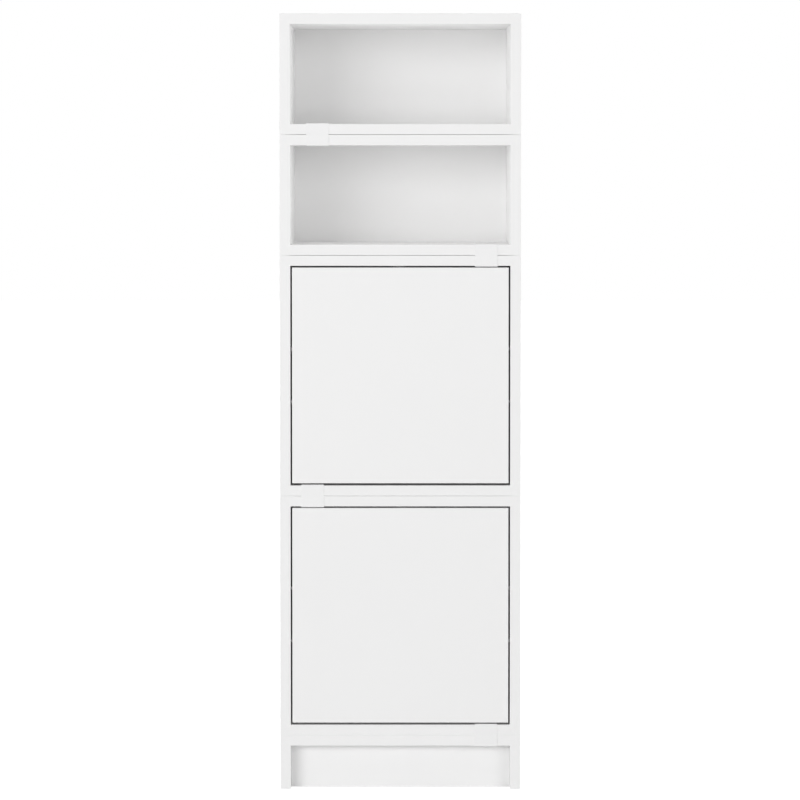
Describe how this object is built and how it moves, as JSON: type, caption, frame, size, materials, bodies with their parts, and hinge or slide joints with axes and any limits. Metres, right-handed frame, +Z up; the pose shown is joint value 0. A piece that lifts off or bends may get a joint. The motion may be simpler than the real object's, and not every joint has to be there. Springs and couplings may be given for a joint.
{
  "type": "modular shoe cabinet",
  "caption": "Tall narrow white cabinet of stacked square boxes on a plinth: open boxes on top, closed tip-out shoe flaps below, held together by small clips at the seams.",
  "frame": {"origin": "on the floor, under the middle of the cabinet's width and depth", "axes": "+Z up, the tallest way; the front faces -Y, the shallowest way; +X is to the right seen from the front"},
  "size_m": [0.436, 0.353, 1.408],
  "materials": {
    "white_board": "satin",
    "inner_board": "satin",
    "clip_enamel": "satin",
    "zinc_steel": "satin",
    "moulded_grey": "matte",
    "beech_dowel": "matte"
  },
  "bodies": {
    "cabinet": {"lower_flap_box_left": "white_board", "lower_flap_box_right": "white_board", "lower_flap_box_floor": "white_board", "lower_flap_box_top": "white_board", "lower_flap_box_back": "inner_board", "upper_flap_box_left": "white_board", "upper_flap_box_right": "white_board", "upper_flap_box_floor": "white_board", "upper_flap_box_top": "white_board", "upper_flap_box_back": "inner_board", "lower_open_box_left": "white_board", "lower_open_box_right": "white_board", "lower_open_box_floor": "white_board", "lower_open_box_top": "white_board", "lower_open_box_back": "inner_board", "upper_open_box_left": "white_board", "upper_open_box_right": "white_board", "upper_open_box_floor": "white_board", "upper_open_box_top": "white_board", "upper_open_box_back": "inner_board", "base_top": "white_board", "base_left_leg": "white_board", "base_right_leg": "white_board", "kick_board": "white_board", "base_rear_rail": "white_board", "leg_glides": "moulded_grey", "carcass_dowels": "beech_dowel", "base_seam_clip": "clip_enamel", "flap_seam_clip": "clip_enamel", "middle_seam_clip": "clip_enamel", "open_seam_clip": "clip_enamel", "rear_seam_clips": "clip_enamel", "wall_bracket": "zinc_steel", "cabinet_screws": "zinc_steel", "pivot_pins": "zinc_steel", "stop_pins": "zinc_steel", "lower_latch_body": "moulded_grey", "upper_latch_body": "moulded_grey"},
    "lower_flap": {"lower_flap_panel": "white_board", "lower_flap_left_cheek": "inner_board", "lower_flap_right_cheek": "inner_board", "lower_rack_floor": "inner_board", "lower_rack_divider": "inner_board", "lower_rack_rear": "inner_board", "lower_flap_brackets": "zinc_steel", "lower_flap_screws": "zinc_steel", "lower_pivot_bushes": "moulded_grey", "lower_strike_plate": "zinc_steel"},
    "upper_flap": {"upper_flap_panel": "white_board", "upper_flap_left_cheek": "inner_board", "upper_flap_right_cheek": "inner_board", "upper_rack_floor": "inner_board", "upper_rack_divider": "inner_board", "upper_rack_rear": "inner_board", "upper_flap_brackets": "zinc_steel", "upper_flap_screws": "zinc_steel", "upper_pivot_bushes": "moulded_grey", "upper_strike_plate": "zinc_steel"},
    "lower_plunger": {"lower_latch_plunger": "moulded_grey"},
    "upper_plunger": {"upper_latch_plunger": "moulded_grey"}
  },
  "joints": [
    {"name": "lower_flap_hinge", "type": "hinge", "parent": "cabinet", "child": "lower_flap", "pos_m": [0, -0.149, 0.27], "axis": [1, 0, 0], "range_deg": [0, 45]},
    {"name": "upper_flap_hinge", "type": "hinge", "parent": "cabinet", "child": "upper_flap", "pos_m": [0, -0.149, 0.706], "axis": [1, 0, 0], "range_deg": [0, 45]},
    {"name": "lower_plunger_slide", "type": "slide", "parent": "cabinet", "child": "lower_plunger", "axis": [0, -1, 0], "range_m": [0, 0.014]},
    {"name": "upper_plunger_slide", "type": "slide", "parent": "cabinet", "child": "upper_plunger", "axis": [0, -1, 0], "range_m": [0, 0.014]}
  ],
  "couplings": [
    {"joint": "lower_plunger_slide", "follows": "lower_flap_hinge", "m_per_rad": 0.0178},
    {"joint": "upper_plunger_slide", "follows": "upper_flap_hinge", "m_per_rad": 0.0178}
  ]
}
